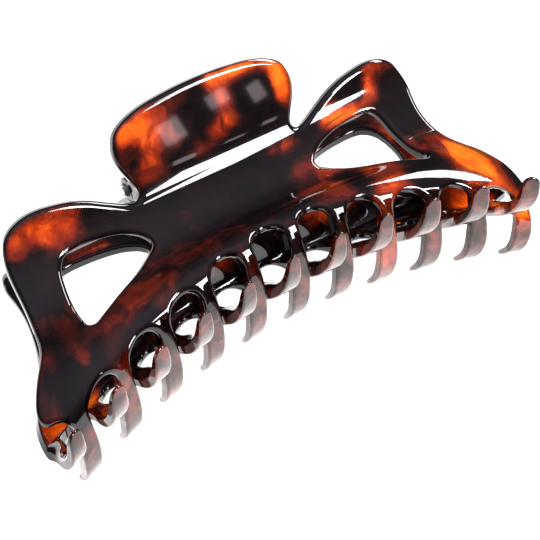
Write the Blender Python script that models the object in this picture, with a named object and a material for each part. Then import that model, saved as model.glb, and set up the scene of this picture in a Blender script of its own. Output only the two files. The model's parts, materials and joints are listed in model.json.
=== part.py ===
"""Large claw hair clip: two equal toothed jaws on a steel hinge pin, held shut by a coil spring.

The jaws are drawn as a flat pattern (x along the clip, s down the profile) that is bent onto a
curved profile. Lengths below are in millimetres, in a frame whose z = 0 is the plane between the
jaws and whose +y runs from the teeth to the finger tabs. Each jaw is the other one turned half a
turn about the y axis.
"""
import math

import bmesh
import bpy
import numpy as np
from mathutils import Matrix, Vector
from mathutils.geometry import delaunay_2d_cdt

MM = 0.001
PITCH = 10.5            # from one tooth of a jaw to the next
TEETH = 11
OFFSET = 2.9            # a jaw's teeth sit this far to one side, so the two rows interlace
HINGE = (26.0, 0.0)     # y, z of the pin's axis
PIN_RADIUS = 1.0
PIN_HALF = 18.2
BORE_RADIUS = 1.35
BARREL_RADIUS = 2.7
SPRING_RADIUS = 3.1     # to the middle of the wire
WIRE_RADIUS = 0.4
SPRING_HALF = 4.4       # half length of the coil
LEG_ANGLE = math.radians(60)
LEG_LENGTH = 11.5
KNUCKLES = ((-17.2, -13.5), (9.3, 13.0))  # spans along x on the upper jaw
TAB_SLOPE = math.radians(46)
TIP_S = -49.3           # where the teeth end
TIP_ROUND = 1.9         # length of a tooth's rounded tip
RIM = 0.95              # radius of the rounded rims
MID_SPAN = 55.0         # the profile's changes along x are written for this half length

# Profile, from the tab down to the tooth tip:
# s, y at the middle, change of y at MID_SPAN, z at the middle, change of z at MID_SPAN,
# further change of z at MID_SPAN that keeps to the ends, thickness
PROFILE = (
    (13.0, 23.48, 0.0, 10.76, 0.0, 0.0, 2.5),
    (9.0, 20.66, 0.0, 7.92, 0.0, 0.0, 2.5),
    (5.0, 17.45, 0.0, 5.5, 0.0, 0.0, 2.5),
    (0.0, 13.0, 0.0, 3.5, 0.0, 0.0, 2.5),
    (-5.9, 8.0, -2.4, 4.0, -0.9, 0.0, 2.5),
    (-13.6, 4.1, -8.5, 9.7, -3.2, -1.6, 2.6),
    (-18.1, 0.6, -12.4, 11.0, -3.6, -3.4, 2.7),
    (-24.2, -4.4, -11.2, 7.5, -3.4, -2.8, 3.0),
    (-31.7, -8.1, -10.7, 0.9, -3.6, 0.0, 3.1),
    (-38.7, -10.4, -10.4, -6.0, -2.4, 0.0, 2.6),
    (-45.2, -9.9, -10.3, -12.6, -1.1, 0.0, 1.8),
    (-50.6, -7.7, -9.9, -17.6, -0.2, 0.0, 1.2),
)
EAR_DROOP = (1.5, 36.0, 12.0)  # drop of the ears' tops: amount, where it starts, over what length

# Half of the outline, from the tab's middle to the lower corner: x, s
TAB = ((0, 25.6), (4, 25.5), (8, 25.2), (11.5, 24.8), (14.6, 24.1), (17.4, 23.0), (19.4, 21.5),
       (20.4, 19.5), (20.8, 17.4), (20.6, 15.3), (19.9, 13.3), (19.0, 11.4), (18.3, 9.8), (18.2, 8.5))
EAR = ((19.3, 7.5), (21.5, 8.0), (24.7, 9.6), (28.1, 11.4), (31.5, 12.7), (35, 13.5), (38.5, 14.0),
       (41.6, 13.9), (44.3, 13.1), (46.3, 11.6), (47.3, 9.5), (47.7, 7.2), (47.9, 4.4), (47.9, 1.5),
       (48.0, -1.2), (48.4, -3.7), (49.1, -6.3), (50.1, -9.0), (51.6, -11.3))
TOOTHED_END = ((53.7, -13.3), (56.1, -15.0), (57.6, -17.1), (58.0, -19.8), (57.7, -23.3), (57.2, -27.0),
               (57.1, -31.0), (57.1, -36.0), (57.0, -41.0), (56.8, -46.0))
PLAIN_END = ((53.4, -12.8), (55.2, -14.2), (56.5, -15.4), (56.8, -16.5), (56.0, -17.6),
             (54.5, -18.3), (53.2, -19.5), (52.3, -21.9), (51.7, -25.0), (51.6, -28.0), (51.6, -31.0))
WINDOW = ((19.8, -0.4), (21.2, 1.2), (23.6, 2.6), (26, 3.4), (28.5, 3.9), (31.2, 4.2), (34, 4.3),
          (36.4, 3.9), (37.8, 2.6), (38.6, 0.9), (39.1, -1.2), (39.6, -3.6), (40.0, -6.2),
          (40.3, -8.8), (40.3, -11.0), (39.2, -12.0), (37.3, -11.4), (35.2, -10.5), (32.6, -9.0),
          (29.8, -7.3), (26.8, -5.6), (23.8, -3.9), (21.3, -2.4), (20.1, -1.5))
# Half width of the gap between two teeth against the depth below its top
GAP = ((4.4, 3.8), (7.5, 3.65), (11.0, 3.35), (15.0, 3.15), (22.0, 3.15), (27.0, 3.3), (31.0, 3.7))


def spline_bends(t):
    """Rows that turn values at the knots t into second derivatives of the natural cubic spline."""
    n = len(t)
    h = np.diff(t)
    left = np.eye(n)
    right = np.zeros((n, n))
    for i in range(1, n - 1):
        left[i, i - 1:i + 2] = h[i - 1], 2 * (h[i - 1] + h[i]), h[i]
        right[i, i - 1:i + 2] = 6 / h[i - 1], -6 / h[i - 1] - 6 / h[i], 6 / h[i]
    return np.linalg.solve(left, right)


ROWS = np.array(PROFILE[::-1])
KNOTS = ROWS[:, 0]
BENDS = spline_bends(KNOTS)


def spline(values, s):
    """Value and slope at s of the spline through values at KNOTS, straight past both ends."""
    bends = BENDS @ values
    column = np.arange(len(s))
    inside = np.clip(s, KNOTS[0], KNOTS[-1])
    i = np.clip(np.searchsorted(KNOTS, inside) - 1, 0, len(KNOTS) - 2)
    h = KNOTS[i + 1] - KNOTS[i]
    a = (KNOTS[i + 1] - inside) / h
    b = 1 - a
    low, high = values[i, column], values[i + 1, column]
    bend_low, bend_high = bends[i, column], bends[i + 1, column]
    value = a * low + b * high + ((a**3 - a) * bend_low + (b**3 - b) * bend_high) * h * h / 6
    slope = (high - low) / h + ((3 * b * b - 1) * bend_high - (3 * a * a - 1) * bend_low) * h / 6
    return value + slope * (s - inside)


def surface(x, s):
    """Points on the upper jaw's outer face."""
    u = (x / MID_SPAN) ** 2
    y = spline(ROWS[:, 1][:, None] + ROWS[:, 2][:, None] * u, s)
    z = spline(ROWS[:, 3][:, None] + ROWS[:, 4][:, None] * u + ROWS[:, 5][:, None] * u**3, s)
    rise = np.clip((s - 5) / 7, 0, 1)
    amount, start, length = EAR_DROOP
    z = z - rise**2 * (3 - 2 * rise) * amount * (np.maximum(0, np.abs(x) - start) / length) ** 2
    return np.stack([x, y, z], axis=-1)


def shell_points(x, s, depth):
    """Points at a share of the thickness below the outer face: 0 is outside, 1 is inside."""
    e = 0.05
    along = surface(x + e, s) - surface(x - e, s)
    down = surface(x, s - e) - surface(x, s + e)
    normal = np.cross(down, along)
    normal /= np.linalg.norm(normal, axis=1)[:, None]
    thickness = np.interp(s, KNOTS, ROWS[:, 6])
    return surface(x, s) - normal * (depth * thickness)[:, None]


def smooth_path(points, step):
    """Catmull-Rom curve through points, sampled about every step."""
    p = np.array(points, float)
    ends = np.vstack([2 * p[0] - p[1], p, 2 * p[-1] - p[-2]])
    out = []
    for i in range(1, len(ends) - 2):
        a, b, c, d = ends[i - 1:i + 3]
        count = max(2, int(np.linalg.norm(c - b) / step))
        for t in np.arange(count) / count:
            out.append(0.5 * (2 * b + (c - a) * t + (2 * a - 5 * b + 4 * c - d) * t * t
                              + (3 * b - a - 3 * c + d) * t**3))
    out.append(p[-1])
    return np.array(out)


def tooth_x(k):
    return (k - (TEETH - 1) / 2) * PITCH + OFFSET


def gap_top(x):
    """Height in s of the top of a gap that is centred at x."""
    return -16.6 - 3.8 * (1 - math.exp(-(x / 18) ** 2))


def gap_width(depth):
    """Half width of a gap at a depth below its top."""
    table = np.array(GAP)
    return np.interp(depth, table[:, 0], table[:, 1])


def gap_side(x, side, step):
    """One side of the gap centred at x, from its top to the tooth tip."""
    top = gap_top(x)
    depth0, width0 = GAP[0]
    arch = [(side * width0 * math.sin(a), top - depth0 * (1 - math.cos(a)))
            for a in np.linspace(0, math.pi / 2, 14)]
    depths = np.arange(depth0 + step, top - TIP_S - TIP_ROUND, step)
    widths = gap_width(depths)
    arch += [(side * w, top - d) for d, w in zip(depths, widths)]
    return [(x + dx, s) for dx, s in arch]


def outline(step):
    """The jaw's closed outline in the flat pattern, clockwise from the tab's middle."""
    end = tooth_x(TEETH - 1)
    right = smooth_path(TAB + EAR + TOOTHED_END, step)
    left = smooth_path(TAB + EAR + PLAIN_END, step)[::-1] * (-1, 1)
    path = [tuple(p) for p in right]
    for k in range(TEETH - 1, -1, -1):
        gap = tooth_x(k) - PITCH / 2
        right_edge = path[-1][0]
        left_edge = PLAIN_END[-1][0] * -1 if k == 0 else gap + gap_width(gap_top(gap) - TIP_S - TIP_ROUND)
        middle = (right_edge + left_edge) / 2
        half = (right_edge - left_edge) / 2
        for a in np.linspace(0.05, math.pi - 0.05, 21):
            path.append((middle + half * math.cos(a), TIP_S + TIP_ROUND * (1 - math.sin(a))))
        if k:
            path += gap_side(gap, 1, step)[::-1]
            path += gap_side(gap, -1, step)[1:]
        else:
            path += [(left_edge, s) for s in np.arange(TIP_S + TIP_ROUND, PLAIN_END[-1][1], step)]
    path += [tuple(p) for p in left[:-1]]
    return even_path(np.array(path), step)


def even_path(path, step):
    """Closed path resampled at even spacing and eased a little, so that corners are rounded."""
    closed = np.vstack([path, path[:1]])
    run = np.concatenate([[0], np.cumsum(np.linalg.norm(np.diff(closed, axis=0), axis=1))])
    t = np.arange(int(run[-1] / step)) * run[-1] / int(run[-1] / step)
    even = np.stack([np.interp(t, run, closed[:, 0]), np.interp(t, run, closed[:, 1])], axis=1)
    for _ in range(int(0.12 / step**2) + 1):
        even = even * 0.5 + (np.roll(even, 1, axis=0) + np.roll(even, -1, axis=0)) * 0.25
    return even


def inward(path):
    """Unit normals of a clockwise closed path that point into the material."""
    along = np.roll(path, -1, axis=0) - np.roll(path, 1, axis=0)
    along /= np.linalg.norm(along, axis=1)[:, None]
    return np.stack([along[:, 1], -along[:, 0]], axis=1)


def thinned(path, inset, tolerance, longest):
    """Indices of the points that keep the inset path within tolerance."""
    keep = [0]
    n = len(path)
    at = 0
    while at < n - 1:
        to = at + 1
        while to < n:
            a, b = inset[at], inset[(to + 1) % n]
            chord = b - a
            length = np.linalg.norm(path[(to + 1) % n] - path[at])
            between = inset[at + 1:to + 1] - a
            off = np.abs(between[:, 0] * chord[1] - between[:, 1] * chord[0])
            if length > longest or off.max() > tolerance * np.linalg.norm(chord):
                break
            to += 1
        if to < n:
            keep.append(to)
        at = to
    return np.array(keep)


def inside(points, loops):
    """Whether each point lies in the material between the loops."""
    odd = np.zeros(len(points), bool)
    for loop in loops:
        a, b = loop, np.roll(loop, -1, axis=0)
        for p, q in zip(a, b):
            crosses = (p[1] > points[:, 1]) != (q[1] > points[:, 1])
            if crosses.any():
                at = p[0] + (points[:, 1] - p[1]) * (q[0] - p[0]) / (q[1] - p[1] + 1e-12)
                odd ^= crosses & (points[:, 0] < at)
    return odd


def jaw_mesh(name, step, tolerance, longest, grid, rings):
    """Closed shell of the upper jaw, without its knuckles, about the hinge axis."""
    loops = [outline(step)]
    for side in (1, -1):
        window = even_path(smooth_path(WINDOW + WINDOW[:1], step)[:-1] * (side, 1), step)
        loops.append(window if side > 0 else window[::-1])
    loops[1:] = [w[::-1] if side_area(w) < 0 else w for w in loops[1:]]
    if side_area(loops[0]) > 0:
        loops[0] = loops[0][::-1]
    edges_in = []
    for path in loops:
        normal = inward(path)
        keep = thinned(path, path + normal * RIM * 0.5, tolerance, longest)
        edges_in.append((path[keep], normal[keep]))
    faces_at = [p + n * RIM for p, n in edges_in]
    low = np.min(faces_at[0], axis=0)
    high = np.max(faces_at[0], axis=0)
    gx, gs = np.meshgrid(np.arange(low[0], high[0], grid), np.arange(-24, high[1], grid * 0.87))
    gx = gx + (np.arange(len(gx)) % 2)[:, None] * grid / 2
    spots = np.stack([gx.ravel(), gs.ravel()], axis=1)
    spots = spots[inside(spots, faces_at)]
    rim = np.vstack(faces_at)
    far = np.array([np.min(np.linalg.norm(rim - q, axis=1)) > grid * 0.55 for q in spots])
    spots = spots[far]
    points = np.vstack([rim, spots])
    borders = []
    start = 0
    for path in faces_at:
        n = len(path)
        borders += [(start + i, start + (i + 1) % n) for i in range(n)]
        start += n
    out = delaunay_2d_cdt([Vector(p) for p in points], borders, [], 0, 1e-6)
    flat = np.array([tuple(v) for v in out[0]])
    source = [ids[0] if ids else -1 for ids in out[3]]
    triangles = np.array([f for f in out[2] if len(f) == 3])
    middles = flat[triangles].mean(axis=1)
    triangles = triangles[inside(middles, faces_at)]
    triangles = np.array([[source[i] for i in t] for t in triangles])

    bm = bmesh.new()
    outer = shell_points(points[:, 0], points[:, 1], np.zeros(len(points)))
    inner = shell_points(points[:, 0], points[:, 1], np.ones(len(points)))
    shift = np.array([0, HINGE[0], HINGE[1]])
    top = [bm.verts.new((v - shift) * MM) for v in outer]
    bottom = [bm.verts.new((v - shift) * MM) for v in inner]
    for a, b, c in triangles:
        bm.faces.new((top[a], top[b], top[c]))
        bm.faces.new((bottom[c], bottom[b], bottom[a]))
    start = 0
    for path, normal in edges_in:
        n = len(path)
        rows = [top[start:start + n]]
        for share_in, share_deep in rings:
            at = path + normal * RIM * share_in
            deep = np.full(n, share_deep)
            rows.append([bm.verts.new((v - shift) * MM) for v in shell_points(at[:, 0], at[:, 1], deep)])
        rows.append(bottom[start:start + n])
        for upper, lower in zip(rows, rows[1:]):
            for i in range(n):
                j = (i + 1) % n
                bm.faces.new((upper[i], upper[j], lower[j], lower[i]))
        start += n
    bmesh.ops.triangulate(bm, faces=[f for f in bm.faces if len(f.verts) > 3])
    bmesh.ops.recalc_face_normals(bm, faces=bm.faces)
    mesh = bpy.data.meshes.new(name)
    bm.to_mesh(mesh)
    bm.free()
    return mesh


def side_area(path):
    """Signed area of a closed path."""
    x, s = path[:, 0], path[:, 1]
    return 0.5 * np.sum(x * np.roll(s, -1) - s * np.roll(x, -1))


def material(name, colour, metallic, roughness):
    made = bpy.data.materials.new(name)
    made.use_nodes = True
    shader = made.node_tree.nodes["Principled BSDF"]
    shader.inputs["Base Color"].default_value = (*colour, 1)
    shader.inputs["Metallic"].default_value = metallic
    shader.inputs["Roughness"].default_value = roughness
    made.diffuse_color = (*colour, 1)
    return made


def rod(name, radius, x0, x1, y, z, sides, collection, turn=0.0):
    """Cylinder along x."""
    bpy.ops.mesh.primitive_cylinder_add(vertices=sides, radius=radius * MM, depth=(x1 - x0) * MM)
    made = bpy.context.object
    made.name = name
    made.data.transform(Matrix.Rotation(math.pi / 2, 4, "Y") @ Matrix.Rotation(turn, 4, "Z"))
    made.location = ((x0 + x1) / 2 * MM, y * MM, z * MM)
    for old in list(made.users_collection):
        old.objects.unlink(made)
    collection.objects.link(made)
    return made


def as_cutter(made):
    made.hide_render = True
    made.display_type = "WIRE"
    return made


def finished(name, source, collection):
    """Solid mesh object of what source looks like with its modifiers."""
    graph = bpy.context.evaluated_depsgraph_get()
    mesh = bpy.data.meshes.new_from_object(source.evaluated_get(graph))
    mesh.name = name
    made = bpy.data.objects.new(name, mesh)
    made.matrix_world = source.matrix_world
    collection.objects.link(made)
    bpy.data.objects.remove(source)
    made.name = name
    return made


def spring_half(name, side, collection):
    """Half of the coil with its leg, on the side of the given sign, about the hinge axis."""
    turns = 3.9
    per_turn = 12
    leave = LEG_ANGLE + math.pi / 2
    count = int(turns * per_turn)
    path = []
    for i in range(count + 1):
        share = i / count
        angle = leave - (1 - share) * turns * 2 * math.pi * -1
        x = 0.6 + (SPRING_HALF - 0.6) * share
        path.append((x, SPRING_RADIUS * math.cos(angle), SPRING_RADIUS * math.sin(angle)))
    x, y, z = path[-1]
    for run in (2.0, LEG_LENGTH - 0.8):
        path.append((x, y + run * math.cos(LEG_ANGLE), z + run * math.sin(LEG_ANGLE)))
    tip = path[-1]
    bend = TAB_SLOPE
    path.append((x, tip[1] + 1.6 * math.cos(bend), tip[2] + 1.6 * math.sin(bend)))
    curve = bpy.data.curves.new(name, "CURVE")
    curve.dimensions = "3D"
    curve.bevel_depth = WIRE_RADIUS * MM
    curve.bevel_resolution = 1
    curve.use_fill_caps = True
    line = curve.splines.new("POLY")
    line.points.add(len(path) - 1)
    for point, (px, py, pz) in zip(line.points, path):
        point.co = (px * MM, py * MM, pz * MM, 1)
    made = bpy.data.objects.new(name, curve)
    collection.objects.link(made)
    bpy.context.view_layer.update()
    solid = finished(name, made, collection)
    bm = bmesh.new()
    bm.from_mesh(solid.data)
    bmesh.ops.remove_doubles(bm, verts=bm.verts, dist=1e-6)
    bmesh.ops.triangulate(bm, faces=bm.faces)
    bmesh.ops.recalc_face_normals(bm, faces=bm.faces)
    bm.to_mesh(solid.data)
    bm.free()
    if side < 0:
        solid.data.transform(Matrix.Rotation(math.pi, 4, "Y"))
    return solid


def lowest(points, tilt, chosen):
    """Least height of the chosen points once they are tilted about x."""
    c, s = math.cos(tilt), math.sin(tilt)
    return float(np.min((points[:, 1] * s + points[:, 2] * c)[chosen]))


def resting_tilt(points):
    """Tilt at which the tab's edge and the tooth tips both touch a flat table."""
    front = points[:, 1] < -20 * MM
    low, high = math.radians(-5), math.radians(25)
    for _ in range(50):
        tilt = (low + high) / 2
        if lowest(points, tilt, ~front) < lowest(points, tilt, front):
            low = tilt
        else:
            high = tilt
    return tilt


for old in list(bpy.data.objects):
    bpy.data.objects.remove(old)
clip = bpy.data.collections.new("claw_clip")
helpers = bpy.data.collections.new("cutters")
bpy.context.scene.collection.children.link(clip)
bpy.context.scene.collection.children.link(helpers)

tortoiseshell = material("tortoiseshell", (0.10, 0.025, 0.012), 0.0, 0.12)
steel = material("spring_steel", (0.55, 0.55, 0.56), 1.0, 0.3)

# The upper jaw: the shell, two knuckles on gussets, and a bore through them
rings = ((0.0, 0.3), (0.0, 0.7))
shell = bpy.data.objects.new("shell", jaw_mesh("shell", 0.25, 0.05, 3.6, 4.6, rings))
clip.objects.link(shell)
for number, (x0, x1) in enumerate(KNUCKLES):
    barrel = as_cutter(rod(f"barrel_{number}", BARREL_RADIUS, x0, x1, 0, 0, 20, helpers))
    bpy.ops.mesh.primitive_cube_add(size=1)
    web = bpy.context.object
    web.name = f"web_{number}"
    reach = 7.7
    web.data.transform(Matrix.Diagonal(((x1 - x0) * MM, 4.4 * MM, reach * MM, 1)))
    web.data.transform(Matrix.Translation((0, 0, reach / 2 * MM)))
    web.data.transform(Matrix.Rotation(TAB_SLOPE, 4, "X"))
    web.location = ((x0 + x1) / 2 * MM, 0, 0)
    for old in list(web.users_collection):
        old.objects.unlink(web)
    helpers.objects.link(as_cutter(web))
    for tool in (barrel, web):
        join = shell.modifiers.new(tool.name, "BOOLEAN")
        join.operation = "UNION"
        join.object = tool
bore = as_cutter(rod("bore", BORE_RADIUS, -30, 30, 0, 0, 20, helpers))
drill = shell.modifiers.new("bore", "BOOLEAN")
drill.operation = "DIFFERENCE"
drill.object = bore
bpy.context.view_layer.update()
upper = finished("upper_jaw", shell, clip)
upper.data.materials.clear()
upper.data.materials.append(tortoiseshell)

# The lower jaw is the same moulding, turned half a turn about y
lower = bpy.data.objects.new("lower_jaw", upper.data)
clip.objects.link(lower)

pin = rod("hinge_pin", PIN_RADIUS, -PIN_HALF, PIN_HALF, 0, 0, 20, clip)
pin.data.materials.append(steel)
halves = [spring_half("spring_upper_half", 1, clip), spring_half("spring_lower_half", -1, clip)]
for half in halves:
    half.data.materials.append(steel)

# At rest the clip lies on the lower tab's edge and on the upper jaw's tooth tips
count = len(upper.data.vertices)
one = np.zeros(count * 3)
upper.data.vertices.foreach_get("co", one)
one = one.reshape(-1, 3)
both = np.vstack([one, one * (-1, 1, -1)])
tilt = resting_tilt(both)
c, s = math.cos(tilt), math.sin(tilt)
placed = np.stack([both[:, 0], both[:, 1] * c - both[:, 2] * s, both[:, 1] * s + both[:, 2] * c], axis=1)
low, high = placed.min(axis=0), placed.max(axis=0)
hinge = bpy.data.objects.new("hinge", None)
clip.objects.link(hinge)
hinge.location = (0, -(low[1] + high[1]) / 2, -low[2])
hinge.rotation_euler = (tilt, 0, 0)
for piece in (upper, lower, pin, *halves):
    piece.parent = hinge
lower.rotation_euler = (0, math.pi, 0)
for piece in (upper, lower):
    piece.data.shade_smooth()
    piece.data.set_sharp_from_angle(angle=math.radians(50))
print("hinge at", [round(v * 1000, 3) for v in hinge.location], "mm, tilt", round(math.degrees(tilt), 3))
print("size", [round((b - a) * 1000, 2) for a, b in zip(low, high)], "mm")
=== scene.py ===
"""A large tortoiseshell claw hair clip that lies closed on a white table.

The jaws are drawn as a flat pattern (x along the clip, s down the profile) that is bent onto a
curved profile. Lengths are in millimetres, about the hinge axis, with +y from the teeth to the
finger tabs, until placed() puts them in the frame.
"""
import json
import math

import bmesh
import bpy
import numpy as np
from mathutils import Matrix, Vector
from mathutils.geometry import delaunay_2d_cdt


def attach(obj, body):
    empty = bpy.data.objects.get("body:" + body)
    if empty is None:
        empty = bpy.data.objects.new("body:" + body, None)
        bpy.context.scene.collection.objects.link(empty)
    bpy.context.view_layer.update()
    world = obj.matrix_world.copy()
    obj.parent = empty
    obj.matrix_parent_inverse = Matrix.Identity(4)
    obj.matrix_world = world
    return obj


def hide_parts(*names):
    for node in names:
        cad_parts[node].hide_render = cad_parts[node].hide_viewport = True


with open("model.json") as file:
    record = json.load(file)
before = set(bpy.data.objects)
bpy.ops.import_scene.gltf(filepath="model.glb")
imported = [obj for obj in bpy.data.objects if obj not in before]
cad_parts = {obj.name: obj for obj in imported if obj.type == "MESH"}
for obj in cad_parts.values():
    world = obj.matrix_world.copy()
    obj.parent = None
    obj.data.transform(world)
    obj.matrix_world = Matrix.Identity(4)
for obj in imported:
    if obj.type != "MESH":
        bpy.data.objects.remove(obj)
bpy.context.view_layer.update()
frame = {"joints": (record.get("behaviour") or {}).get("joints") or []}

MM = 0.001
HINGE_AT = Vector(frame["joints"][0]["pos_m"])

# Teeth: spacing, number and shift of the row, and the place and rounding of the claws' ends
PITCH = 10.5
TEETH = 11
OFFSET = 2.9
TIP_S = -49.3
TIP_ROUND = 1.9

# Hinge, pin and spring
HINGE_Y = 26.0
TILT = math.radians(3.234)
PIN_RADIUS = 1.0
PIN_HALF = 18.2
BORE_RADIUS = 1.35
BARREL_RADIUS = 2.7
KNUCKLES = ((-17.2, -13.5), (9.3, 13.0))
GUSSET_NEAR = 1.8
GUSSET_REACH = 7.7
GUSSET_HALF = 2.2
SPRING_RADIUS = 3.1
WIRE_RADIUS = 0.4
SPRING_START = 0.6
SPRING_HALF = 4.4
SPRING_TURNS = 3.9
LEG_ANGLE = math.radians(60)
LEG_LENGTH = 11.5
TAB_SLOPE = math.radians(46)

# Profile from the tab to the tooth tip: s, y at the middle, change of y at MID_SPAN, z at the
# middle, change of z at MID_SPAN, further change of z that keeps to the ends, thickness
MID_SPAN = 55.0
PROFILE = (
    (13.0, 23.48, 0.0, 10.76, 0.0, 0.0, 2.5),
    (9.0, 20.66, 0.0, 7.92, 0.0, 0.0, 2.5),
    (5.0, 17.45, 0.0, 5.5, 0.0, 0.0, 2.5),
    (0.0, 13.0, 0.0, 3.5, 0.0, 0.0, 2.5),
    (-5.9, 8.0, -2.4, 4.0, -0.9, 0.0, 2.5),
    (-13.6, 4.1, -8.5, 9.7, -3.2, -1.6, 2.6),
    (-18.1, 0.6, -12.4, 11.0, -3.6, -3.4, 2.7),
    (-24.2, -4.4, -11.2, 7.5, -3.4, -2.8, 3.0),
    (-31.7, -8.1, -10.7, 0.9, -3.6, 0.0, 3.1),
    (-38.7, -10.4, -10.4, -6.0, -2.4, 0.0, 2.6),
    (-45.2, -9.9, -10.3, -12.6, -1.1, 0.0, 1.8),
    (-50.6, -7.7, -9.9, -17.6, -0.2, 0.0, 1.2),
)

# Droop of the ears: amount, and the x where it starts and its length; then the rows of s where it
# sets in
EAR_DROOP = (1.5, 36.0, 12.0)
EAR_RISE = (5.0, 12.0)

TAB = ((0, 25.6), (4, 25.5), (8, 25.2), (11.5, 24.8), (14.6, 24.1), (17.4, 23.0), (19.4, 21.5),
       (20.4, 19.5), (20.8, 17.4), (20.6, 15.3), (19.9, 13.3), (19.0, 11.4), (18.3, 9.8), (18.2, 8.5))
EAR = ((19.3, 7.5), (21.5, 8.0), (24.7, 9.6), (28.1, 11.4), (31.5, 12.7), (35, 13.5), (38.5, 14.0),
       (41.6, 13.9), (44.3, 13.1), (46.3, 11.6), (47.3, 9.5), (47.7, 7.2), (47.9, 4.4), (47.9, 1.5),
       (48.0, -1.2), (48.4, -3.7), (49.1, -6.3), (50.1, -9.0), (51.6, -11.3))
TOOTHED_END = ((53.7, -13.3), (56.1, -15.0), (57.6, -17.1), (58.0, -19.8), (57.7, -23.3), (57.2, -27.0),
               (57.1, -31.0), (57.1, -36.0), (57.0, -41.0), (56.8, -46.0))
PLAIN_END = ((53.4, -12.8), (55.2, -14.2), (56.5, -15.4), (56.8, -16.5), (56.0, -17.6),
             (54.5, -18.3), (53.2, -19.5), (52.3, -21.9), (51.7, -25.0), (51.6, -28.0), (51.6, -31.0))
WINDOW = ((19.8, -0.4), (21.2, 1.2), (23.6, 2.6), (26, 3.4), (28.5, 3.9), (31.2, 4.2), (34, 4.3),
          (36.4, 3.9), (37.8, 2.6), (38.6, 0.9), (39.1, -1.2), (39.6, -3.6), (40.0, -6.2),
          (40.3, -8.8), (40.3, -11.0), (39.2, -12.0), (37.3, -11.4), (35.2, -10.5), (32.6, -9.0),
          (29.8, -7.3), (26.8, -5.6), (23.8, -3.9), (21.3, -2.4), (20.1, -1.5))

# Gaps between the teeth: s of the arch at the clip's middle, its drop toward the ends and the x
# over which it drops; then half the width at depths below the arch
ARCH_TOP = (-16.6, 3.8, 18.0)
GAP = ((4.4, 3.8), (7.5, 3.65), (11.0, 3.35), (15.0, 3.15), (22.0, 3.2), (27.0, 3.55), (31.0, 4.15))

# Tables of (place, value). The rim's width goes by the depth below the arch and by the distance
# from the middle; the claws' thickness, the draft of the inner side and the painted shade on the
# rim go by s. That painted shade darkens the rim's colour toward its edge for the dark room it reflects
RIM_BY_DEPTH = ((-8.0, 1.3), (0.0, 1.9), (2.0, 1.4), (4.4, 0.8), (9.0, 0.7), (26.0, 0.6), (30.0, 0.35))
RIM_LIMIT = ((49.0, 2.0), (52.0, 0.9))
CLAW_THICKNESS = ((-49.3, 0.4), (-46.0, 0.8), (-38.0, 1.0))
DRAFT = ((-49.0, 0.2), (-46.0, 0.4), (-41.0, 0.85), (-30.0, 0.85), (-22.0, 0.0))
RIM_PAINTED_SHADE = ((-26.0, 0.0), (-22.0, 0.7))
OUTER_ROUND = 0.27
INNER_ROUND = 0.22
THICKNESS = 2.6

# Shading normals: the shift of s in the valley at the tab, and the easing on the outside of the
# steep slope under the ridge, between the s of its two sides
VALLEY_SHIFT = ((-3.0, 0.0), (6.2, -3.6), (8.6, 0.4), (10.0, 0.0))
SLOPE_SIDES = (-2.0, -15.5)
SLOPE_MIDDLE = -8.5
SLOPE_SPREAD = 4.5
SLOPE_EASE = 0.65
SLOPE_ENDS = ((40.0, 1.0), (44.0, 0.0))
OUTSIDE = ((0.3, 1.0), (0.6, 0.0))

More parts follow.
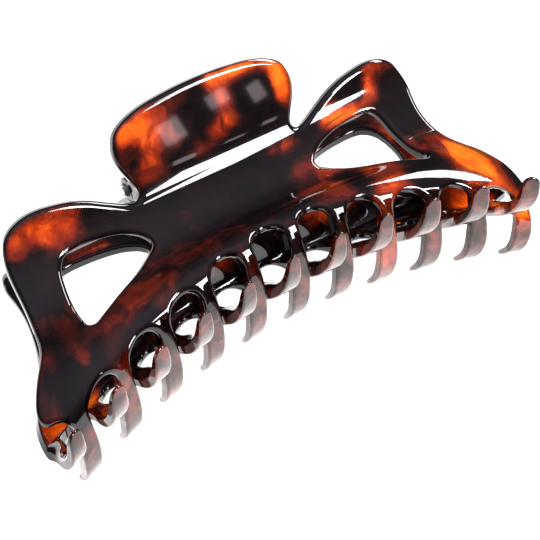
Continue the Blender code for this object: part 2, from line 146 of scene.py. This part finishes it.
# Blotches of each jaw in its own flat pattern: x, s, half width, half height, lightness; then the
# weight and lightness of the plastic between them, and the same of a knuckle
UPPER_BLOTCHES = (
    (-16.8, 21.0, 2.0, 3.2, 0.86), (-12.6, 20.0, 3.2, 3.4, 0.76), (-17.2, 16.0, 1.6, 2.4, 0.1),
    (-14.0, 12.8, 3.4, 3.0, 0.72), (-7.5, 22.2, 3.0, 1.8, 0.56), (-7.6, 17.5, 2.2, 2.6, 0.5),
    (-2.5, 19.0, 3.6, 4.2, 0.1), (4.6, 20.0, 2.0, 4.0, 0.75), (3.0, 14.2, 3.0, 1.8, 0.74),
    (10.0, 24.6, 7.0, 1.7, 1.0), (18.4, 18.5, 1.9, 4.5, 0.95), (10.4, 18.0, 3.8, 3.2, 0.06),
    (9.5, 12.2, 5.5, 2.4, 0.04), (-8.0, 12.0, 3.6, 2.2, 0.08), (-3.0, 11.6, 2.6, 1.4, 0.6),
    (0.0, 7.4, 16.0, 2.4, 0.03), (14.0, 5.6, 3.0, 1.1, 0.75), (-9.0, 0.0, 9.0, 4.0, 0.14),
    (4.0, -2.0, 8.0, 4.0, 0.03), (17.0, -1.4, 3.0, 1.8, 0.55), (21.8, -3.6, 3.0, 1.6, 0.8),
    (15.5, -11.0, 3.4, 4.0, 0.74), (22.3, -12.0, 2.8, 5.0, 0.04), (28.6, -13.0, 3.4, 5.0, 0.76),
    (37.0, -14.5, 4.6, 3.6, 0.04), (42.6, -7.4, 3.0, 3.0, 0.48), (49.0, -13.8, 4.4, 4.6, 1.0),
    (56.8, -16.0, 2.8, 3.6, 0.1), (43.4, 12.0, 4.0, 1.8, 0.58), (33.4, 10.6, 3.2, 1.8, 0.06),
    (43.4, 5.0, 4.2, 5.0, 0.03), (38.4, 9.0, 1.7, 3.0, 0.8), (30.5, 5.8, 4.0, 1.3, 0.97),
    (27.0, 7.4, 2.6, 1.4, 0.8), (23.4, 8.4, 1.8, 1.6, 0.15), (-37.0, 9.3, 5.4, 3.0, 0.7),
    (-43.6, 9.6, 2.4, 2.8, 0.68), (-26.0, 7.5, 5.0, 2.6, 0.08), (-43.5, 2.6, 4.2, 4.6, 0.05),
    (-44.2, -6.0, 2.8, 1.6, 0.34), (-45.5, -11.5, 5.0, 3.6, 0.3), (-44.8, -15.7, 0.9, 0.8, 1.0),
    (-29.0, -14.0, 4.0, 3.0, 0.62), (-37.0, -14.6, 3.6, 2.2, 0.45), (-32.2, -18.6, 3.0, 1.8, 0.02),
    (-16.0, -9.0, 8.0, 5.0, 0.34), (-48.8, -17.8, 3.6, 2.6, 0.03), (-54.2, -17.2, 1.8, 2.0, 0.55),
    (23.9, -27.0, 2.6, 9.0, 0.72), (55.4, -26.0, 3.0, 4.5, 0.92), (44.9, -24.0, 2.4, 3.0, 0.5),
    (-7.6, -30.0, 2.4, 7.0, 0.42), (-39.1, -24.0, 2.4, 3.0, 0.5), (13.4, -34.0, 2.6, 7.0, 0.4),
)
LOWER_BLOTCHES = (
    (-49.6, -25.0, 4.0, 7.0, 0.92), (-39.1, -24.0, 3.4, 5.0, 0.5), (44.9, -21.5, 2.6, 3.4, 0.85),
    (-34.0, -14.0, 5.0, 4.0, 0.05), (-20.0, -20.0, 8.0, 4.0, 0.12), (34.4, -22.0, 3.0, 3.0, 0.3),
    (24.0, -19.0, 3.0, 2.6, 0.42), (0.0, -16.0, 9.0, 5.0, 0.05), (53.0, -18.0, 4.0, 4.0, 0.66),
    (-44.0, 0.0, 4.0, 6.0, 0.6), (-33.0, 10.0, 5.0, 3.0, 0.2), (38.0, 10.0, 5.0, 3.0, 0.1),
    (30.0, 6.0, 4.0, 2.0, 0.7), (-12.0, 20.0, 5.0, 4.0, 0.85), (2.0, 18.0, 4.0, 4.0, 0.1),
    (13.0, 14.0, 5.0, 3.0, 0.75), (12.0, 23.0, 4.0, 2.0, 0.2), (-3.0, 12.0, 5.0, 3.0, 0.1),
    (10.0, -4.0, 6.0, 5.0, 0.6), (-20.0, -6.0, 6.0, 3.0, 0.7), (44.0, -8.0, 4.0, 5.0, 0.15),
    (7.6, -34.0, 2.6, 8.0, 0.4), (-13.4, -30.0, 2.6, 8.0, 0.42), (28.6, -32.0, 2.6, 8.0, 0.36),
)
BETWEEN_WEIGHT = 0.12
BETWEEN_LIGHT = ((-32.0, 0.42), (-22.0, 0.2))
KNUCKLE_LIGHT = 0.15

# Area lights: name, azimuth, height, width, length, radiance, colour
LIGHTS = (
    ("key", 149.5, 31.5, 0.185, 0.18, 36, (1, 1, 1)),
    ("upper", 145, 45, 0.11, 0.2, 36, (1, 1, 1)),
    ("side", 80, 38, 0.6, 0.17, 22, (1, 1, 1)),
    ("window_left", 157.0, 19.9, 0.02, 0.018, 4, (1.0, 0.84, 0.88)),
    ("window_middle", 153.5, 20.1, 0.018, 0.012, 3.5, (1.0, 0.84, 0.88)),
    ("window_right", 151.2, 19.2, 0.012, 0.015, 3.5, (1.0, 0.84, 0.88)),
)
LIGHT_DISTANCE = 0.8
LIGHT_TARGET = Vector((0, 0, 0.02))

# Camera: its place, its own directions, and the lens
CAMERA_AT = (-0.100829, -0.097553, 0.234591)
CAMERA_RIGHT = (0.819213, -0.553463, 0.15023)
CAMERA_UP = (0.419748, 0.757155, 0.500528)
CAMERA_BACK = (-0.390771, -0.34698, 0.852586)
FOCAL_LENGTH = 85.555
SENSOR_WIDTH = 36


def read(table, at):
    """Values at places in a table of (place, value), level past both ends."""
    places, values = zip(*table)
    return np.interp(at, places, values)


def unit(vectors):
    return vectors / np.linalg.norm(vectors, axis=-1, keepdims=True)


def spline_bends(t):
    """Matrix that gives a natural spline's second derivatives at knots t from its values."""
    n = len(t)
    h = np.diff(t)
    left = np.eye(n)
    right = np.zeros((n, n))
    for i in range(1, n - 1):
        left[i, i - 1:i + 2] = h[i - 1], 2 * (h[i - 1] + h[i]), h[i]
        right[i, i - 1:i + 2] = 6 / h[i - 1], -6 / h[i - 1] - 6 / h[i], 6 / h[i]
    return np.linalg.solve(left, right)


ROWS = np.array(PROFILE[::-1])
KNOTS = ROWS[:, 0]
BENDS = spline_bends(KNOTS)


def spline(values, s):
    """Value at s of the spline through values at KNOTS, straight past both ends."""
    bends = BENDS @ values
    column = np.arange(len(s))
    within = np.clip(s, KNOTS[0], KNOTS[-1])
    i = np.clip(np.searchsorted(KNOTS, within) - 1, 0, len(KNOTS) - 2)
    h = KNOTS[i + 1] - KNOTS[i]
    a = (KNOTS[i + 1] - within) / h
    b = 1 - a
    low, high = values[i, column], values[i + 1, column]
    bend_low, bend_high = bends[i, column], bends[i + 1, column]
    value = a * low + b * high + ((a**3 - a) * bend_low + (b**3 - b) * bend_high) * h * h / 6
    slope = (high - low) / h + ((3 * b * b - 1) * bend_high - (3 * a * a - 1) * bend_low) * h / 6
    return value + slope * (s - within)


def surface(x, s):
    """Points on the upper jaw's outer face."""
    _, y0, y2, z0, z2, z6, _ = (column[:, None] for column in ROWS.T)
    u = (x / MID_SPAN) ** 2
    y = spline(y0 + y2 * u, s) - HINGE_Y
    z = spline(z0 + z2 * u + z6 * u**3, s)
    amount, start, length = EAR_DROOP
    low, high = EAR_RISE
    rise = np.clip((s - low) / (high - low), 0, 1)
    z = z - rise**2 * (3 - 2 * rise) * amount * (np.maximum(0, np.abs(x) - start) / length) ** 2
    return np.stack([x, y, z], axis=-1)


def directions(x, s):
    """The outer face's normal, and its directions along x and up s."""
    near = 0.05
    along = surface(x + near, s) - surface(x - near, s)
    up = surface(x, s + near) - surface(x, s - near)
    return [unit(v) for v in (np.cross(along, up), along, up)]


def shell_points(x, s, depth):
    """Points at a share of the thickness below the outer face: 0 is outside, 1 is inside."""
    thickness = np.interp(s, KNOTS, ROWS[:, 6]) * read(CLAW_THICKNESS, s)
    return surface(x, s) - directions(x, s)[0] * (depth * thickness)[:, None]


def smooth_path(points, step):
    """Catmull-Rom curve through points, sampled about every step."""
    p = np.array(points, float)
    ends = np.vstack([2 * p[0] - p[1], p, 2 * p[-1] - p[-2]])
    out = []
    for i in range(1, len(ends) - 2):
        a, b, c, d = ends[i - 1:i + 3]
        count = max(2, int(np.linalg.norm(c - b) / step))
        for t in np.arange(count) / count:
            out.append(0.5 * (2 * b + (c - a) * t + (2 * a - 5 * b + 4 * c - d) * t * t
                              + (3 * b - a - 3 * c + d) * t**3))
    out.append(p[-1])
    return np.array(out)


def tooth_x(k):
    return (k - (TEETH - 1) / 2) * PITCH + OFFSET


def gap_top(x):
    top, drop, spread = ARCH_TOP
    return top - drop * (1 - np.exp(-(x / spread) ** 2))


def gap_side(x, side, step):
    """One side of the gap centred at x, from its top to the tooth tip."""
    top = gap_top(x)
    depth0, width0 = GAP[0]
    arch = [(side * width0 * math.sin(a), top - depth0 * (1 - math.cos(a)))
            for a in np.linspace(0, math.pi / 2, 14)]
    depths = np.arange(depth0 + step, top - TIP_S - TIP_ROUND, step)
    arch += [(side * w, top - d) for d, w in zip(depths, read(GAP, depths))]
    return [(x + dx, s) for dx, s in arch]


def outline(step):
    """The jaw's closed outline in the flat pattern, clockwise from the tab's middle."""
    right = smooth_path(TAB + EAR + TOOTHED_END, step)
    left = smooth_path(TAB + EAR + PLAIN_END, step)[::-1] * (-1, 1)
    end_x, end_s = PLAIN_END[-1]
    path = [tuple(p) for p in right]
    for k in range(TEETH - 1, -1, -1):
        gap = tooth_x(k) - PITCH / 2
        right_edge = path[-1][0]
        left_edge = gap + read(GAP, gap_top(gap) - TIP_S - TIP_ROUND) if k else -end_x
        middle = (right_edge + left_edge) / 2
        half = (right_edge - left_edge) / 2
        for a in np.linspace(0.05, math.pi - 0.05, 21):
            path.append((middle + half * math.cos(a), TIP_S + TIP_ROUND * (1 - math.sin(a))))
        if k:
            path += gap_side(gap, 1, step)[::-1]
            path += gap_side(gap, -1, step)[1:]
        else:
            path += [(left_edge, s) for s in np.arange(TIP_S + TIP_ROUND, end_s, step)]
    path += [tuple(p) for p in left[:-1]]
    return even_path(np.array(path), step)


def even_path(path, step):
    """Closed path resampled at even spacing and eased a little, so that corners are rounded."""
    closed = np.vstack([path, path[:1]])
    run = np.concatenate([[0], np.cumsum(np.linalg.norm(np.diff(closed, axis=0), axis=1))])
    count = int(run[-1] / step)
    t = np.arange(count) * run[-1] / count
    even = np.stack([np.interp(t, run, closed[:, 0]), np.interp(t, run, closed[:, 1])], axis=1)
    easing = 0.12
    for _ in range(int(easing / step**2) + 1):
        even = even * 0.5 + (np.roll(even, 1, axis=0) + np.roll(even, -1, axis=0)) * 0.25
    return even


def inward(path):
    """Unit normals on the right of a closed path, which is where its material lies."""
    along = unit(np.roll(path, -1, axis=0) - np.roll(path, 1, axis=0))
    return np.stack([along[:, 1], -along[:, 0]], axis=1)


def side_area(path):
    """Area within a closed path, negative when it runs clockwise."""
    x, s = path[:, 0], path[:, 1]
    return 0.5 * np.sum(x * np.roll(s, -1) - s * np.roll(x, -1))


def thinned(path, inset, tolerance, longest):
    """Indices of the points that keep the inset path within tolerance."""
    keep = [0]
    n = len(path)
    at = 0
    while at < n - 1:
        to = at + 1
        while to < n:
            a, b = inset[at], inset[(to + 1) % n]
            chord = b - a
            length = np.linalg.norm(path[(to + 1) % n] - path[at])
            between = inset[at + 1:to + 1] - a
            off = np.abs(between[:, 0] * chord[1] - between[:, 1] * chord[0])
            if length > longest or off.max() > tolerance * np.linalg.norm(chord):
                break
            to += 1
        if to < n:
            keep.append(to)
        at = to
    return np.array(keep)


def within_loops(points, loops):
    """Whether each point lies in the material between the loops."""
    odd = np.zeros(len(points), bool)
    for loop in loops:
        for p, q in zip(loop, np.roll(loop, -1, axis=0)):
            crosses = (p[1] > points[:, 1]) != (q[1] > points[:, 1])
            if crosses.any():
                at = p[0] + (points[:, 1] - p[1]) * (q[0] - p[0]) / (q[1] - p[1] + 1e-12)
                odd ^= crosses & (points[:, 0] < at)
    return odd


def spots_within(faces_at, grid):
    """Points of a triangular grid in the material, clear of the loops and scarce on the claws."""
    low = np.min(faces_at[0], axis=0)
    high = np.max(faces_at[0], axis=0)
    gx, gs = np.meshgrid(np.arange(low[0], high[0], grid), np.arange(low[1], high[1], grid * 0.87))
    gx = gx + (np.arange(len(gx)) % 2)[:, None] * grid / 2
    spots = np.stack([gx.ravel(), gs.ravel()], axis=1)
    spots = spots[within_loops(spots, faces_at)]
    claws_below, claw_clear = -22.0, 1.5
    clear = np.where(spots[:, 1] < claws_below, claw_clear, grid * 0.6)
    rim = np.vstack(faces_at)
    far = [np.min(np.sum((rim - q) ** 2, axis=1)) > c * c for q, c in zip(spots, clear)]
    return spots[np.array(far)]


def flat_jaw(step, tolerance, longest, grid):
    """Loops with their normals, all flat points, and the triangles between them."""
    loops = [outline(step)]
    for side in (1, -1):
        loops.append(even_path(smooth_path(WINDOW + WINDOW[:1], step)[:-1] * (side, 1), step))
    loops[1:] = [w[::-1] if side_area(w) < 0 else w for w in loops[1:]]
    if side_area(loops[0]) > 0:
        loops[0] = loops[0][::-1]
    edges = []
    for path in loops:
        normal = inward(path)
        keep = thinned(path, path + normal * 0.5, tolerance, longest)
        edges.append((path[keep], normal[keep]))
    faces_at = [path + normal * rim_width(path)[:, None] for path, normal in edges]
    points = np.vstack([*faces_at, spots_within(faces_at, grid)])
    borders = []
    start = 0
    for path in faces_at:
        n = len(path)
        borders += [(start + i, start + (i + 1) % n) for i in range(n)]
        start += n
    out = delaunay_2d_cdt([Vector(p) for p in points], borders, [], 0, 1e-6)
    flat = np.array([tuple(v) for v in out[0]])
    if any(not ids for ids in out[3]):
        raise ValueError("the rim crosses itself")
    source = np.array([ids[0] for ids in out[3]])
    triangles = np.array([f for f in out[2] if len(f) == 3])
    triangles = triangles[within_loops(flat[triangles].mean(axis=1), faces_at)]
    return edges, points, source[triangles]


def rim_width(p):
    """Width of the rounded rim at flat points: broad over the arches, narrow along the teeth."""
    x, s = p[:, 0], p[:, 1]
    return np.minimum(read(RIM_BY_DEPTH, gap_top(x) - s), read(RIM_LIMIT, np.abs(x)))


def rim_rows(path, normal, draft):
    """Rows of the rounded rim from the outer face to the inner one. Each has its flat points, their
    depth, the shading normal's part in the flat pattern and its part out of it, and a lightness
    that paints shade on the rim, darker toward its edge."""
    width = rim_width(path)
    # Painted shade: the rim's colour is made darker toward its edge, in place of the dark room it
    # reflects
    painted_rim_shade = read(RIM_PAINTED_SHADE, path[:, 1])
    rows = []
    for side, rounding, reach, angles in (
            (1, OUTER_ROUND, width, np.linspace(0, math.pi / 2, 8)[1:]),
            (-1, INNER_ROUND, width + draft, np.linspace(math.pi / 2, 0, 7)[:-1])):
        for a in angles:
            deep = rounding * reach * (1 - math.cos(a))
            across = THICKNESS * rounding * reach * math.sin(a)
            level = reach * math.cos(a)
            size = np.hypot(across, level)
            rows.append((path + normal * (reach * (1 - math.sin(a)))[:, None],
                         deep if side > 0 else 1 - deep,
                         -normal * (across / size)[:, None],
                         side * level / size,
                         1 - painted_rim_shade * math.sin(a) ** 2))
    return rows


def shading_directions(x, s, deep):
    """The outer face's directions as they are shaded."""
    out, along, up = directions(x, s + read(VALLEY_SHIFT, s))
    calm = unit(sum(directions(x, np.full(len(x), side))[0] for side in SLOPE_SIDES))
    ease = SLOPE_EASE * np.exp(-((s - SLOPE_MIDDLE) / SLOPE_SPREAD) ** 2)
    ease = (ease * read(SLOPE_ENDS, np.abs(x)) * read(OUTSIDE, deep))[:, None]
    return unit(out * (1 - ease) + calm * ease), along, up


def amber(x, s, blotches):
    """How light the plastic is, from 0 (black) to 1 (bright amber), out of placed blotches."""
    weight = np.full(len(x), BETWEEN_WEIGHT)
    total = weight * read(BETWEEN_LIGHT, s)
    for bx, bs, wide, tall, value in blotches:
        w = np.exp(-((x - bx) / wide) ** 2 - ((s - bs) / tall) ** 2)
        weight = weight + w
        total = total + w * value
    return total / weight


def add_pattern(mesh, flat, light):
    """The attributes that the tortoiseshell reads: the place in the flat pattern, and lightness, which
    also carries the painted shade on the rims.
    """
    place = mesh.attributes.new("flat", "FLOAT_VECTOR", "POINT")
    place.data.foreach_set("vector", flat.astype(np.float32).ravel())
    value = mesh.attributes.new("amber", "FLOAT", "POINT")
    value.data.foreach_set("value", light.astype(np.float32))


def jaw_shell(name, turned, drawn, blotches):
    """The fine shell of one jaw: both faces of the flat pattern and the rims between them."""
    edges, points, triangles = drawn
    count = len(points)
    borders = sum(len(path) for path, _ in edges)
    draft = read(DRAFT, points[:borders, 1])
    under = points.copy()
    under[:borders] += np.vstack([normal for _, normal in edges]) * draft[:, None]
    upright = np.zeros((count, 2))
    one = np.ones(count)
    parts = [(points, 0 * one, upright, one, one), (under, one, upright, -one, one)]
    faces = [triangles, triangles[:, ::-1] + count]
    start = 0
    total = 2 * count
    for path, normal in edges:
        n = len(path)
        rows = [np.arange(start, start + n)]
        for part in rim_rows(path, normal, draft[start:start + n]):
            parts.append(part)
            rows.append(np.arange(total, total + n))
            total += n
        rows.append(rows[0] + count)
        for upper, lower in zip(rows, rows[1:]):
            faces.append(np.stack([upper, np.roll(upper, -1), np.roll(lower, -1), lower], axis=1))
        start += n
    at, deep, tip, face, shade = (np.concatenate(column) for column in zip(*parts))
    x, s = at[:, 0], at[:, 1]
    out, along, up = shading_directions(x, s, deep)
    normals = out * face[:, None] + along * tip[:, :1] + up * tip[:, 1:]
    mesh = bpy.data.meshes.new(name)
    mesh.from_pydata(placed(shell_points(x, s, deep), turned), [],
                     [f for part in faces for f in part.tolist()])
    # The lightness is the blotches' own, times the painted shade on the rims
    add_pattern(mesh, np.stack([x, s, deep * THICKNESS], axis=1), amber(x, s, blotches) * shade)
    made = whole(name, mesh)
    mesh.normals_split_custom_set_from_vertices(turned_about(normals, turned))
    return made


def turned_about(points, turned):
    """Points or directions turned as the clip lies."""
    p = np.array(points, float)
    if turned:
        p = p * (-1, 1, -1)
    c, s = math.cos(TILT), math.sin(TILT)
    return np.stack([p[:, 0], p[:, 1] * c - p[:, 2] * s, p[:, 1] * s + p[:, 2] * c], axis=1)


def placed(points, turned):
    """Points in metres in the frame; a turned piece belongs to the lower jaw."""
    return [tuple(v) for v in turned_about(points, turned) * MM + np.array(HINGE_AT)]


def new_object(name, data):
    made = bpy.data.objects.new(name, data)
    bpy.context.scene.collection.objects.link(made)
    return made


def whole(name, mesh):
    """Object of a closed mesh, faces outward and smooth."""
    bm = bmesh.new()
    bm.from_mesh(mesh)
    bmesh.ops.recalc_face_normals(bm, faces=bm.faces)
    bm.to_mesh(mesh)
    bm.free()
    made = new_object(name, mesh)
    mesh.shade_smooth()
    return made


def solid(name, shape, turned, sharp=None):
    """Object of a closed shape, with its edges sharp from an angle in degrees."""
    verts, faces = shape
    mesh = bpy.data.meshes.new(name)
    mesh.from_pydata(placed(verts, turned), [], faces)
    made = whole(name, mesh)
    if sharp:
        mesh.set_sharp_from_angle(angle=math.radians(sharp))
    return made


def tube(path, radius, sides):
    """Vertices and faces of a round wire along path, with domed ends."""
    p = np.array(path, float)
    along = unit(np.gradient(p, axis=0))
    side = np.cross(along[0], (0.3, 0.5, 0.81))
    verts = []
    faces = []
    rows = [(p[0], along[0], k) for k in (-1.0, -0.8, -0.4)]
    rows += [(q, a, 0.0) for q, a in zip(p, along)]
    rows += [(p[-1], along[-1], k) for k in (0.4, 0.8, 1.0)]
    for q, a, dome in rows:
        side = unit(side - a * (side @ a))
        other = np.cross(a, side)
        size = radius * math.sqrt(max(1e-4, 1 - dome * dome))
        middle = q + a * radius * dome
        for i in range(sides):
            t = 2 * math.pi * i / sides
            verts.append(middle + (side * math.cos(t) + other * math.sin(t)) * size)
    for r in range(len(rows) - 1):
        for i in range(sides):
            j = (i + 1) % sides
            faces.append((r * sides + i, r * sides + j, (r + 1) * sides + j, (r + 1) * sides + i))
    faces.append(tuple(range(sides))[::-1])
    faces.append(tuple(range((len(rows) - 1) * sides, len(rows) * sides)))
    return verts, faces


def lathe(profile, sides):
    """Closed ring or solid about the x axis through profile points (x, radius)."""
    verts = []
    faces = []
    n = len(profile)
    for i in range(sides):
        t = 2 * math.pi * i / sides
        verts += [(x, r * math.cos(t), r * math.sin(t)) for x, r in profile]
    for i in range(sides):
        for k in range(n):
            a, b = i * n, (i + 1) % sides * n
            faces.append((a + k, b + k, b + (k + 1) % n, a + (k + 1) % n))
    return verts, faces


def barrel(x0, x1, radius, soft):
    """Profile points of a cylinder with both edges rounded."""
    edge = [(0, radius - soft), (soft * 0.3, radius - soft * 0.3), (soft, radius)]
    return [(x0 + x, r) for x, r in edge] + [(x1 - x, r) for x, r in edge[::-1]]


def spring_path():
    """Half of the coil and its leg, whose end bends to lie along the tab."""
    leave = LEG_ANGLE + math.pi / 2
    count = int(SPRING_TURNS * 40)
    path = []
    for i in range(count + 1):
        share = i / count
        angle = leave + (1 - share) * SPRING_TURNS * 2 * math.pi
        x = SPRING_START + (SPRING_HALF - SPRING_START) * share
        path.append((x, SPRING_RADIUS * math.cos(angle), SPRING_RADIUS * math.sin(angle)))
    straight = [(run, LEG_ANGLE) for run in np.linspace(0.5, LEG_LENGTH - 0.8, 12)]
    bend = [(run, LEG_ANGLE + (TAB_SLOPE - LEG_ANGLE) * run / 1.6) for run in (0.4, 0.8, 1.2, 1.6)]
    for part in (straight, bend):
        x, y, z = path[-1]
        for run, angle in part:
            path.append((x, y + run * math.cos(angle), z + run * math.sin(angle)))
    return path


def knuckles(name, turned):
    """The two hinge barrels of a jaw, each with its gusset."""
    verts = []
    faces = []
    soft = 0.25
    c, s = math.cos(TAB_SLOPE), math.sin(TAB_SLOPE)
    for x0, x1 in KNUCKLES:
        ring = [(x0 + soft, BORE_RADIUS), (x0, BORE_RADIUS + soft),
                *barrel(x0, x1, BARREL_RADIUS, soft),
                (x1, BORE_RADIUS + soft), (x1 - soft, BORE_RADIUS)]
        ring_verts, ring_faces = lathe(ring, 48)
        faces += [tuple(i + len(verts) for i in face) for face in ring_faces]
        verts += ring_verts
        base = len(verts)
        for x in (x0, x1):
            for across, out in ((-GUSSET_HALF, GUSSET_NEAR), (GUSSET_HALF, GUSSET_NEAR),
                                (GUSSET_HALF, GUSSET_REACH), (-GUSSET_HALF, GUSSET_REACH)):
                verts.append((x, -across * c - out * s, -across * s + out * c))
        faces += [tuple(base + i for i in face) for face in
                  ((0, 1, 2, 3), (7, 6, 5, 4), (0, 4, 5, 1), (1, 5, 6, 2), (2, 6, 7, 3), (3, 7, 4, 0))]
    made = solid(name, (verts, faces), turned, 40)
    flat = np.array([(x, 6.0 + z * 0.3, 2.0) for x, _, z in verts])
    add_pattern(made.data, flat, np.full(len(verts), KNUCKLE_LIGHT))
    return made


def fill(made, values):
    """Constant values on a node's own sockets."""
    for socket, value in values.items():
        made.inputs[socket].default_value = value


def node(tree, kind, values=None, **settings):
    """New node with constant values on its sockets and with its settings."""
    made = tree.nodes.new(kind)
    for key, value in settings.items():
        setattr(made, key, value)
    fill(made, values or {})
    return made


def map_range(tree, **limits):
    """Map Range node with the limits that aren't 0 and 1, such as to_min=0.2."""
    return node(tree, "ShaderNodeMapRange",
                {key.replace("_", " ").title(): value for key, value in limits.items()})


def colour_ramp(tree, stops):
    """Ramp through stops of (position, colour)."""
    made = node(tree, "ShaderNodeValToRGB")
    line = made.color_ramp
    while len(line.elements) < len(stops):
        line.elements.new(0.5)
    for element, (position, colour) in zip(line.elements, stops):
        element.position = position
        element.color = (*colour, 1)
    return made


def new_material(name):
    """Material with its tree and its Principled shader."""
    made = bpy.data.materials.new(name)
    made.use_nodes = True
    return made, made.node_tree, made.node_tree.nodes["Principled BSDF"]


def tortoiseshell_material():
    """Blotches from the jaws' attribute, clouded a little. The lighter the plastic, the clearer."""
    made, tree, shader = new_material("tortoiseshell")
    flat = node(tree, "ShaderNodeAttribute", attribute_name="flat")
    # The amber attribute holds the blotches and, on the rims, painted shade
    light = node(tree, "ShaderNodeAttribute", attribute_name="amber")
    cloud = node(tree, "ShaderNodeTexNoise",
                 {"Scale": 0.22, "Detail": 4, "Roughness": 0.55, "Distortion": 0.6})
    stray = map_range(tree, from_min=0.25, from_max=0.75, to_min=-0.22, to_max=0.22)
    field = node(tree, "ShaderNodeMath", operation="ADD")
    ramp = colour_ramp(tree, (
        (0.0, (0.002, 0.0015, 0.002)), (0.25, (0.008, 0.003, 0.003)), (0.42, (0.07, 0.007, 0.003)),
        (0.58, (0.36, 0.026, 0.003)), (0.76, (0.8, 0.1, 0.004)), (1.0, (1.0, 0.30, 0.012))))
    clear = map_range(tree, from_min=0.25, from_max=0.7, to_min=0.1, to_max=0.85)
    tree.links.new(flat.outputs["Vector"], cloud.inputs["Vector"])
    tree.links.new(cloud.outputs["Fac"], stray.inputs["Value"])
    tree.links.new(light.outputs["Fac"], field.inputs[0])
    tree.links.new(stray.outputs["Result"], field.inputs[1])
    tree.links.new(field.outputs["Value"], ramp.inputs["Fac"])
    tree.links.new(ramp.outputs["Color"], shader.inputs["Base Color"])
    tree.links.new(field.outputs["Value"], clear.inputs["Value"])
    tree.links.new(clear.outputs["Result"], shader.inputs["Transmission Weight"])
    fill(shader, {"Roughness": 0.08, "IOR": 1.49, "Specular IOR Level": 0.01,
                  "Coat Weight": 1.0, "Coat Roughness": 0.03, "Coat IOR": 1.49})
    return made


def steel_material():
    """Drawn steel wire with a fine uneven polish."""
    made, tree, shader = new_material("steel")
    place = node(tree, "ShaderNodeTexCoord")
    grain = node(tree, "ShaderNodeTexNoise", {"Scale": 900, "Detail": 4})
    rough = map_range(tree, to_min=0.22, to_max=0.38)
    tree.links.new(place.outputs["Object"], grain.inputs["Vector"])
    tree.links.new(grain.outputs["Fac"], rough.inputs["Value"])
    tree.links.new(rough.outputs["Result"], shader.inputs["Roughness"])
    fill(shader, {"Base Color": (0.56, 0.56, 0.58, 1), "Metallic": 1.0})
    return made


def mesh_piece(name, shape, turned, material, body, sharp=None):
    """Piece of one shape that rides a body."""
    made = solid(name, shape, turned, sharp)
    made.data.materials.append(material)
    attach(made, body)
    return made


tortoiseshell = tortoiseshell_material()
steel = steel_material()

drawn = flat_jaw(step=0.2, tolerance=0.012, longest=1.0, grid=1.15)
for name, body, turned, blotches in (("upper", "upper", False, UPPER_BLOTCHES),
                                     ("lower", "lower", True, LOWER_BLOTCHES)):
    shell = jaw_shell(f"{name}_shell", turned, drawn, blotches)
    pair = knuckles(f"{name}_knuckles", turned)
    for made in (shell, pair):
        made.data.materials.append(tortoiseshell)
        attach(made, body)
    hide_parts(f"{name}_jaw")
    half = mesh_piece(f"{name}_spring", tube(spring_path(), WIRE_RADIUS, 14), turned, steel, body)
    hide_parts(f"spring_{name}_half")

pin_profile = [(-PIN_HALF, 0.02), *barrel(-PIN_HALF, PIN_HALF, PIN_RADIUS, 0.35), (PIN_HALF, 0.02)]
pin = mesh_piece("pin", lathe(pin_profile, 40), False, steel, "lower", 40)
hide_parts("hinge_pin")


def table():
    """White table that glows, with a painted contact shadow: it glows less where the clip stands close
    over it.
    """
    mesh = bpy.data.meshes.new("table")
    r = 3.0
    mesh.from_pydata([(-r, -r, 0), (r, -r, 0), (r, r, 0), (-r, r, 0)], [], [(0, 1, 2, 3)])
    made = new_object("table", mesh)
    skin, tree, shader = new_material("white_paper")
    # Painted contact shadow: ambient occlusion lowers the table's glow near the clip
    near = node(tree, "ShaderNodeAmbientOcclusion", {"Distance": 0.02}, samples=8)
    shadowed_glow = map_range(tree, to_min=0.45, to_max=2.2)
    tree.links.new(near.outputs["AO"], shadowed_glow.inputs["Value"])
    tree.links.new(shadowed_glow.outputs["Result"], shader.inputs["Emission Strength"])
    fill(shader, {"Base Color": (0.02, 0.02, 0.02, 1), "Roughness": 1.0, "Specular IOR Level": 0.0,
                  "Emission Color": (1, 1, 1, 1)})
    mesh.materials.append(skin)


def softbox(name, azimuth, height, width, tall, radiance, colour):
    """Area light seen from the clip at an azimuth (from +y to +x) and height in degrees."""
    az, el = math.radians(azimuth), math.radians(height)
    toward = Vector((math.cos(el) * math.sin(az), math.cos(el) * math.cos(az), math.sin(el)))
    data = bpy.data.lights.new(name, "AREA")
    data.shape = "RECTANGLE"
    data.size = width
    data.size_y = tall
    data.energy = radiance * math.pi * width * tall
    data.color = colour
    made = new_object(name, data)
    made.location = toward * LIGHT_DISTANCE + LIGHT_TARGET
    made.rotation_euler = toward.to_track_quat("Z", "Y").to_euler()


def studio():
    """Dim room: darkest toward the horizon, a soft grey ceiling."""
    world = bpy.data.worlds.new("studio")
    world.use_nodes = True
    tree = world.node_tree
    place = node(tree, "ShaderNodeTexCoord")
    split = node(tree, "ShaderNodeSeparateXYZ")
    ramp = colour_ramp(tree, ((0.0, (0.1, 0.095, 0.105)), (0.35, (0.08, 0.075, 0.085)),
                              (0.8, (0.27, 0.24, 0.29)), (1.0, (0.6, 0.56, 0.65))))
    tree.links.new(place.outputs["Generated"], split.inputs["Vector"])
    tree.links.new(split.outputs["Z"], ramp.inputs["Fac"])
    tree.links.new(ramp.outputs["Color"], tree.nodes["Background"].inputs["Color"])
    return world


table()
for light in LIGHTS:
    softbox(*light)
bpy.context.scene.world = studio()
bpy.context.scene.view_settings.view_transform = "Standard"

lens = bpy.data.cameras.new("camera")
lens.lens = FOCAL_LENGTH
lens.sensor_width = SENSOR_WIDTH
lens.clip_start = 0.01
camera = new_object("camera", lens)
turn = Matrix((CAMERA_RIGHT, CAMERA_UP, CAMERA_BACK)).transposed()
camera.matrix_world = Matrix.Translation(CAMERA_AT) @ turn.to_4x4()
bpy.context.scene.camera = camera
